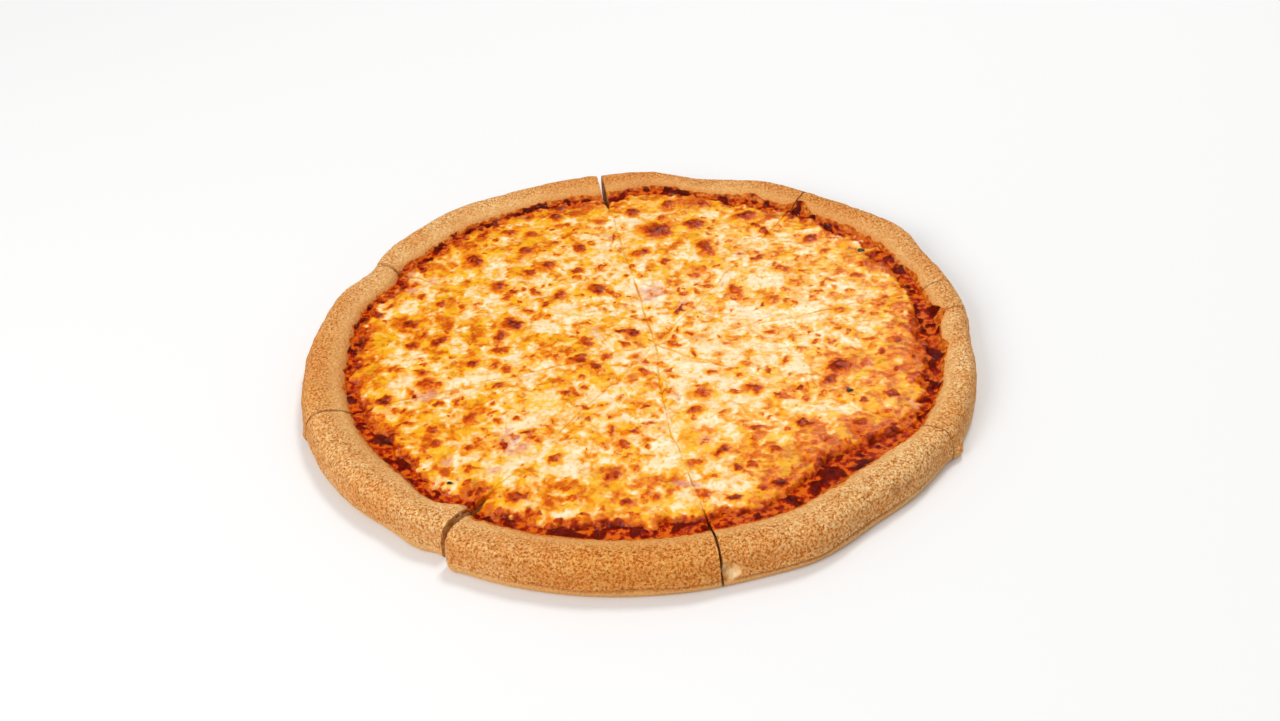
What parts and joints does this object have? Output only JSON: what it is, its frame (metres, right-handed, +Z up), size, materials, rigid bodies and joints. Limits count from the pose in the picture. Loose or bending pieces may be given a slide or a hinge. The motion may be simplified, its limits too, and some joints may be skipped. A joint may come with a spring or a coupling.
{
  "type": "margherita pizza",
  "caption": "Round baked margherita pizza with a raised rim, tomato sauce and melted cheese, cut by straight cuts into slices that lie together.",
  "frame": {"origin": "on the surface that the pizza lies on, under the middle of its outline", "axes": "+Z up, +X towards the right-hand slice and +Y towards the far side of the picture"},
  "size_m": [0.3189, 0.3206, 0.0188],
  "materials": {
    "crust": "baked golden dough, matt, with fine semolina grit; stands in for bread",
    "sauce": "glossy cooked tomato sauce; stands in for sauce",
    "cheese": "melted cheese, slightly oily, with browned blisters; stands in for cheese"
  },
  "bodies": {
    "root": {"slice_1_crust": "crust", "slice_1_sauce": "sauce", "slice_1_cheese": "cheese", "slice_2_crust": "crust", "slice_2_sauce": "sauce", "slice_2_cheese": "cheese", "slice_3_crust": "crust", "slice_3_sauce": "sauce", "slice_3_cheese": "cheese", "slice_4_crust": "crust", "slice_4_sauce": "sauce", "slice_4_cheese": "cheese", "slice_5_crust": "crust", "slice_5_sauce": "sauce", "slice_5_cheese": "cheese", "slice_6_crust": "crust", "slice_6_sauce": "sauce", "slice_6_cheese": "cheese", "slice_7_crust": "crust", "slice_7_sauce": "sauce", "slice_7_cheese": "cheese", "slice_8_crust": "crust", "slice_8_sauce": "sauce", "slice_8_cheese": "cheese"}
  },
  "joints": []
}
